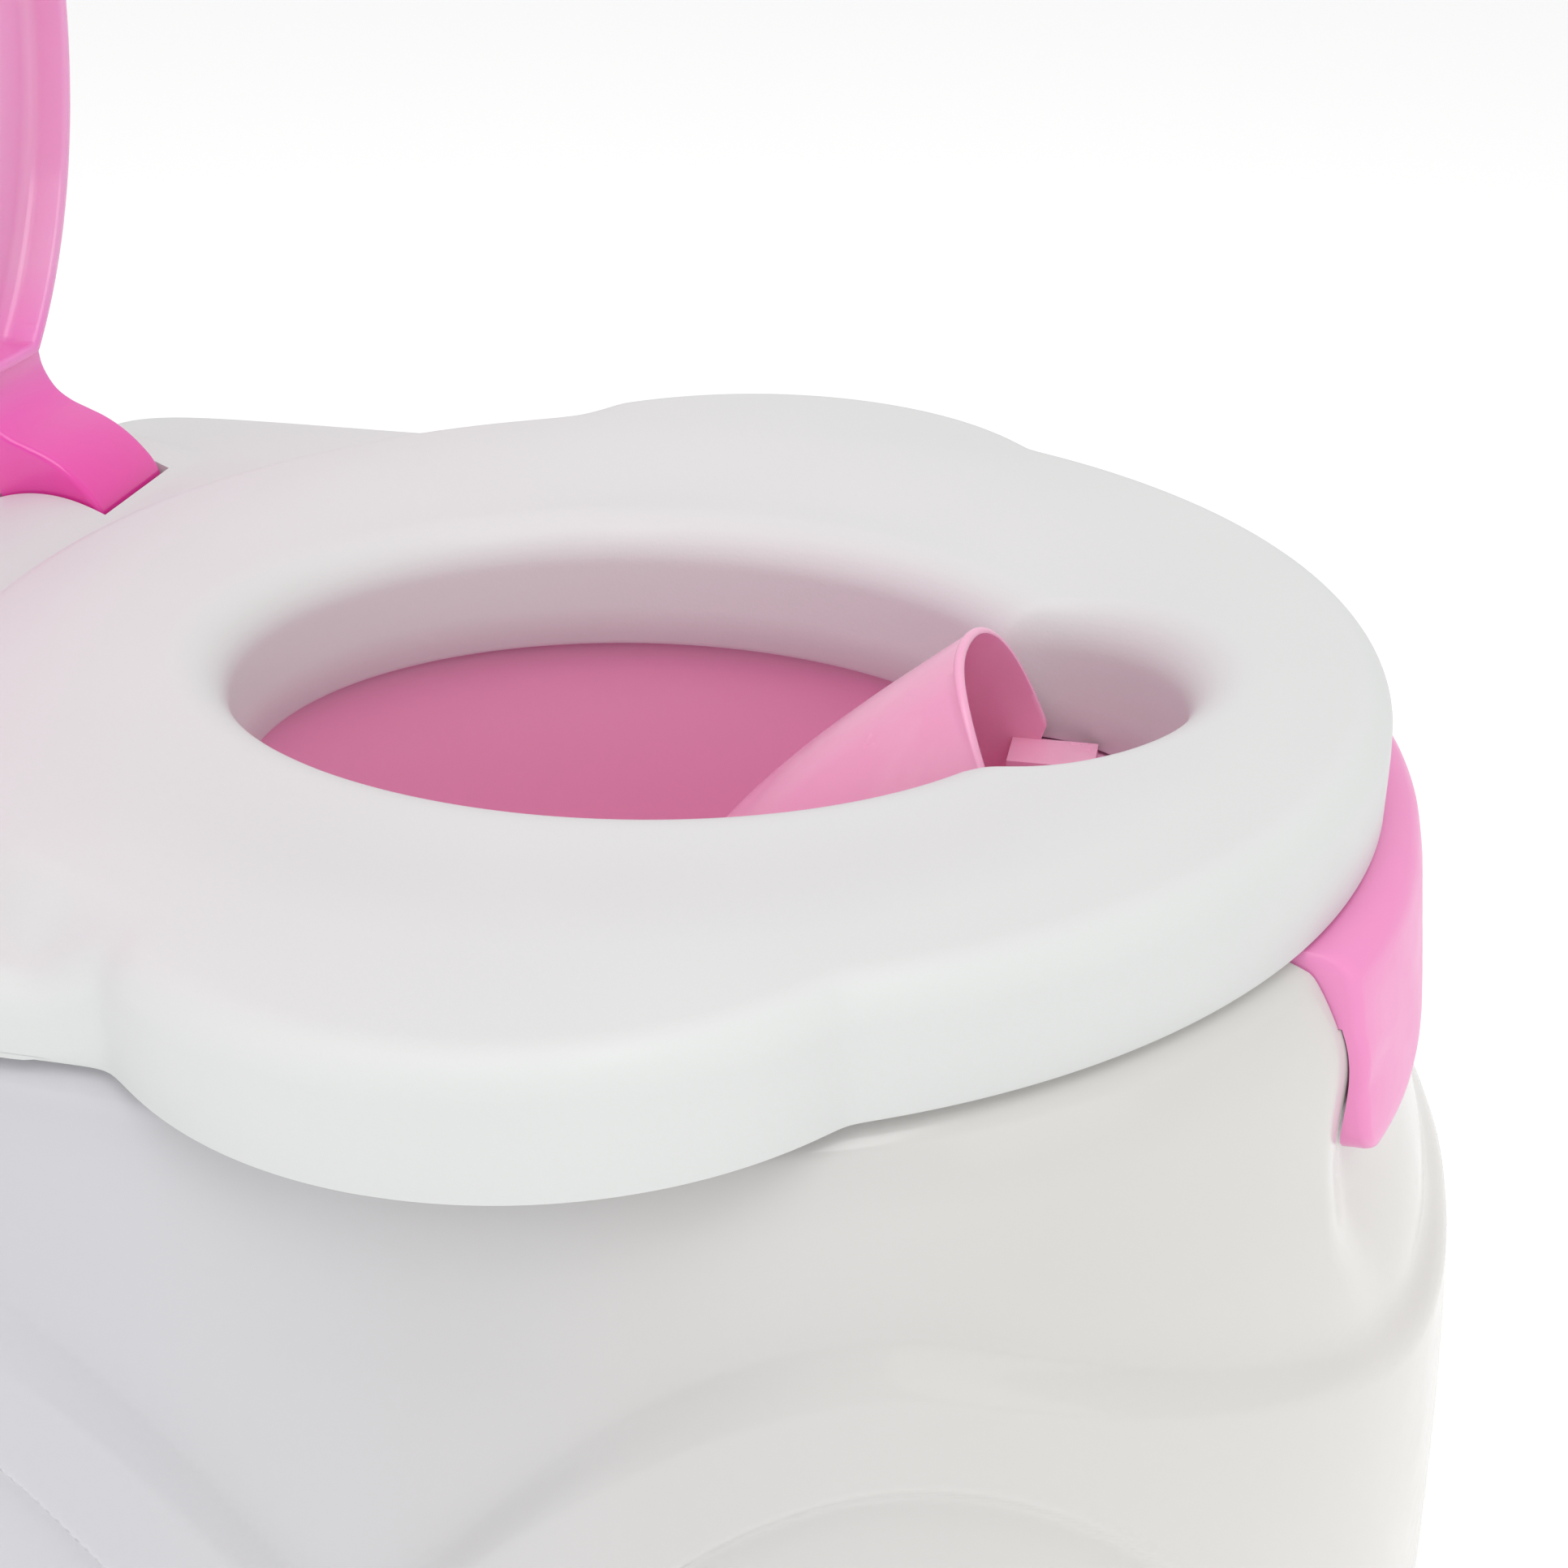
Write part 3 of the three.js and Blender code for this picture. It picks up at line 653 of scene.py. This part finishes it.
def add_bowl(material):
    a = turned(480)
    floor = LEDGE + GAP
    top = floor + FLANGE

    def cup(share, z, grow):
        x, y = around(lambda t: main_oval(t, grow) * share, a, HOLE_Y)
        return level(x, y, z)

    def flange(grow, z):
        x, y = around(lambda t: hole_radius(t) + 20 + grow, a, HOLE_Y)
        return level(x, y, z)

    depths = np.sin(np.linspace(0.05, np.pi / 2 - 0.01, 44))
    shares = [(1 - d**6.5) ** (1 / 2.2) * (1 - 0.06 * d) * 0.985 for d in depths]
    outer = [
        cup(s, top - CUP["depth"] * d - CUP["wall"], CUP["grow"] + CUP["wall"])
        for s, d in zip(shares, depths)
    ]
    inner = [cup(s, top - CUP["depth"] * d, CUP["grow"]) for s, d in zip(shares, depths)]
    rings = outer[::-1] + [cup(1, floor - 0.4, CUP["grow"] + CUP["wall"]), flange(-0.5, floor)]
    rings += [flange(0, floor + 0.5), flange(0, top - 0.5), flange(-0.5, top)]
    rings += [cup(1.015, top, CUP["grow"]), cup(1.0, top - 1.0, CUP["grow"])] + inner
    bowl = skin("bowl_moulding", rings, "pole")
    combine(bowl, grip(), "UNION")
    bore = PEG["r"] + GAP
    for side in (-1, 1):
        centre = Vector((side * PEG["x"], PEG["y"] + SHIFT, 0))
        combine(bowl, lathe("bore", [(bore, floor - 6), (bore, floor + 6)], centre), "DIFFERENCE")
    shade(bowl)
    finish_piece(bowl, "bowl", "bowl_pink", material, "bowl")


def grip():
    """The band that comes out under the seat and hangs down over the hollow of the base's front."""
    rows = np.array(GRIP_ROWS)
    corner = 1.7
    rings = []
    neck, tongue = np.linspace(24.5, NECK_END - 0.05, 5), np.linspace(NECK_END + 0.05, 53, 22)
    for drop in np.concatenate([rows[:5, 0], neck, tongue, rows[-5:, 0]]):
        half, out = (np.interp(drop, rows[:, 0], rows[:, k]) for k in (1, 2))
        width, reach = (wall_size(side, drop) for side in ("half", "front"))

        def faces(x):
            front = -reach * (1 - (abs(x) / width) ** 2.2) ** (1 / 2.2)
            turn = np.degrees(np.arctan2(abs(x), -front))
            inner = front + notch(turn, drop) - fullness(drop) - GRIP_FIT
            outer = front - out * (0.85 + 0.15 * np.sqrt(1 - np.minimum(abs(x) / half, 1) ** 6))
            return np.minimum(outer, inner - lerp(3.0, 1.4, smooth(drop, 56.5, 58.7))), inner

        near = [(half - corner * s, corner * d) for s, d in quarter(7)]
        flat = [(x, 0.0) for x in np.linspace(half - corner, corner - half, 41)[1:-1]]
        far = [(-x, back) for x, back in near[::-1]]
        x, back = np.array([(half, corner)] + near + flat + far + [(-half, corner)]).T
        outer, inner = faces(x)
        outer = np.minimum(outer + back, inner - 0.3)
        outer[[0, -1]] = inner[[0, -1]] - 0.3
        if drop < NECK_END:
            inner = np.full(len(x), NECK_ROOT)
        z = SEAT_TOP - drop
        rings.append(np.vstack([level(x, outer, z), level(x, inner, z)[::-1]]))
    return skin("grip", rings, "strip")


# ---- splash guard ----
GUARD_RIM = {"half": 29.0, "y": -60.0, "sweep": 15.0, "rise": 4.0, "fall": 27.0}
GUARD_FOOT = {"half": 31.0, "y": -66.0, "bulge": 62.0, "drop": 52.0}
GUARD_WALL = 2.0
GUARD_TOP = SEAT_TOP + 4.9
GUARD_STEPS = 97


def add_guard(material):
    """The hump that leans forward over the front of the bowl, open towards the front."""
    turn = np.radians(np.linspace(-90, 90, GUARD_STEPS))
    across, along = np.sin(turn), np.cos(turn)
    back = 1 - along
    rim_height = SEAT_TOP + GUARD_RIM["rise"] - GUARD_RIM["fall"] * back**1.3
    rim = level(GUARD_RIM["half"] * across, GUARD_RIM["y"] - GUARD_RIM["sweep"] * back, rim_height)
    foot_y = GUARD_FOOT["y"] + GUARD_FOOT["bulge"] * along
    foot = level(GUARD_FOOT["half"] * across, foot_y, SEAT_TOP - GUARD_FOOT["drop"])
    inwards = level(-across, -along, 0.0)
    rings = []

    def section(v, thick):
        outer = lerp(foot, rim, v)
        outer[:, 1] += 5 * np.sin(np.pi * v) * along
        return outer + inwards * (GUARD_WALL - thick) / 2, outer + inwards * (GUARD_WALL + thick) / 2

    for v in np.linspace(0, 1, 44):
        outer, inner = section(v, GUARD_WALL)
        rings.append(np.vstack([outer, inner[::-1]]))
    for s, d in quarter(6)[1:]:
        outer, inner = section(1.0, GUARD_WALL * max(1 - s, 0.12))
        lift = np.array([0, 0, (1 - d) * 0.9])
        rings.append(np.vstack([outer + lift, inner[::-1] + lift]))
    rings = [np.minimum(ring, [np.inf, np.inf, GUARD_TOP]) for ring in rings]
    guard = skin("splash_guard_moulding", rings, "strip")
    shelf = LEDGE + GAP + FLANGE + GAP
    for side in (-1, 1):
        x, r = side * PEG["x"], PEG["r"]
        plate = skin("plate", box_rings((x - 5.5, -85.5, shelf), (x + 5.5, -68.5, shelf + 2.4)), "pole")
        combine(guard, plate, "UNION")
        peg = [(r - 0.8, shelf - 7), (r - 0.1, shelf - 6.3), (r, shelf - 5), (r, shelf + 1)]
        combine(guard, lathe("peg", peg, Vector((x, PEG["y"] + SHIFT, 0)), 48), "UNION")
    shade(guard)
    finish_piece(guard, "guard", "guard_pink", material, "splash_guard")


# ---- lid ----
def add_lid(material):
    """Drawn standing up on the hinge axis, then leant back on it."""
    a = turned()

    def oval(grow, y):
        r = super_ellipse(a, LID["half"] + grow, LID["long"] + grow, 2.1)
        z = np.maximum(r * np.sin(a), LID["foot"] - LID["centre"] - grow)
        return np.column_stack([r * np.cos(a), np.full(len(a), y), LID["centre"] + z])

    face, edge = LID["off"] - LID["plate"], LID["off"] - LID["skirt"]
    rings = [oval(-60, LID["off"]), oval(-30, LID["off"])]
    rings += [oval(-4.8 * d, LID["off"] - 4.8 * s) for s, d in quarter(9)]
    rings += [oval(0, edge + 0.8), oval(-0.3, edge + 0.2), oval(-1, edge), oval(-1.6, edge)]
    rings += [oval(-2.2, edge + 0.4), oval(-2.5, edge + 1.2)]
    rings += [oval(-2.8 - 3.4 * s, face - 3.4 * d) for s, d in quarter(7)]
    rings += [oval(-30, face), oval(-60, face)]
    lid = skin("lid_moulding", rings, "pole", (0, 0, 0))
    for side in (-1, 1):
        combine(lid, ear(side * EAR_X), "UNION")
    for side in (-1, 1):
        bore = bar_along_x("bore", PIN["r"] + GAP, EAR_WIDTH + 4, side * EAR_X)
        bore.data.transform(Matrix.Translation(-PIVOT_AXIS * MM))
        combine(lid, bore, "DIFFERENCE")
    lid.data.transform(Matrix.Translation(PIVOT_AXIS * MM) @ Matrix.Rotation(-LEAN, 4, "X"))
    shade(lid)
    finish_piece(lid, "lid", "lid_pink", material, "lid")


EAR_PROFILE = [  # (across the lid, up the lid) from the hinge axis, round the tongue
    (-13.9, -2.5), (-13.0, 1.5), (-10.3, 5.6), (-6.9, 9.3), (-2.9, 12.3), (1.1, 14.4), (4.9, 16.4),
    (8.2, 19.4), (10.2, 24.2), (10.4, 29.0), (10.4, 34.6), (19.6, 34.6), (19.6, 29.5), (18.8, 24.0),
    (15.9, 15.6), (12.4, 8.0), (9.4, 1.2), (5.9, -4.4), (2.8, -7.6), (-1.0, -9.2), (-5.0, -9.3),
    (-9.0, -8.2), (-12.0, -6.2),
]


def ear(x):
    """A thick curved tongue from the slot in the deck back and up into the lid's skirt."""
    corners = np.array(EAR_PROFILE)
    previous, ahead, beyond = (np.roll(corners, -k, axis=0) for k in (-1, 1, 2))
    curve = []
    for t in np.linspace(0, 1, 8, endpoint=False):
        bend = 2 * previous - 5 * corners + 4 * ahead - beyond
        turn = -previous + 3 * corners - 3 * ahead + beyond
        curve.append(corners + 0.5 * t * (ahead - previous) + 0.5 * t**2 * bend + 0.5 * t**3 * turn)
    curve = np.stack(curve, 1).reshape(-1, 2)
    run = np.roll(curve, -1, axis=0) - np.roll(curve, 1, axis=0)
    run /= np.linalg.norm(run, axis=1, keepdims=True)
    inwards = np.column_stack([run[:, 1], -run[:, 0]])
    half, soft = EAR_WIDTH / 2, 1.4
    sides = [(-half + soft * s, soft * d) for s, d in quarter(6)]
    rings = []
    for along, inset in sides + [(-place, inset) for place, inset in sides[::-1]]:
        y, z = (curve + inset * inwards).T
        rings.append(np.column_stack([np.full(len(y), x + along), y, z]))
    return skin("ear", rings, "flat", (0, 0, 0))


# ---- small pieces ----
def add_feet(material):
    for node in FEET:
        low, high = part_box(node)
        r = (high.x - low.x) / 2 / MM
        top = high.z / MM
        profile = [(r - 4, 0.0), (r - 2, 0.0), (r - 0.8, 0.3), (r - 0.05, 1.2), (r - 0.05, top - 0.5)]
        profile += [(r - 0.6, top), (r - 4, top)]
        foot = lathe(node + "_pad", profile, middle_of(node))
        finish_piece(foot, "base", "grip_rubber", material, node)


def add_bumpers(material):
    """Soft studs under the lid's front, standing square to its plate."""
    for node in ("lid_bumper_left", "lid_bumper_right"):
        centre = middle_of(node)
        r, height = 5.9, 10.0
        profile = [(0.5, 0), (3.6, 0), (5.0, 0.5), (5.7, 1.5), (r, 3.2), (r, height - 0.4), (r - 0.4, height)]
        stud = lathe(node + "_stud", profile, Vector((0, 0, 0)), 64)
        square = Matrix.Rotation(-LEAN, 4, "X") @ Matrix.Rotation(-math.pi / 2, 4, "X")
        stud.data.transform(Matrix.Translation((0, 0, -height * MM / 2)))
        stud.data.transform(Matrix.Translation(centre * MM) @ square)
        finish_piece(stud, "lid", "bumper_rubber", material, node)


def add_pins(material):
    for node in ("hinge_pin_left", "hinge_pin_right"):
        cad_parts[node].data.materials.clear()
        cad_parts[node].data.materials.append(material)


add_camera()
add_studio()
add_floor()
add_base(base_finish())
add_bowl(bowl_finish())
add_guard(guard_finish())
add_seat(seat_finish())
add_lid(lid_finish())
add_feet(rubber_finish("foot_rubber_grey", srgb(160, 160, 163)))
add_bumpers(rubber_finish("bumper_rubber_clear", srgb(226, 218, 222)))
add_pins(plastic("pin_white_plain", srgb(222, 222, 222), 0.4).material)
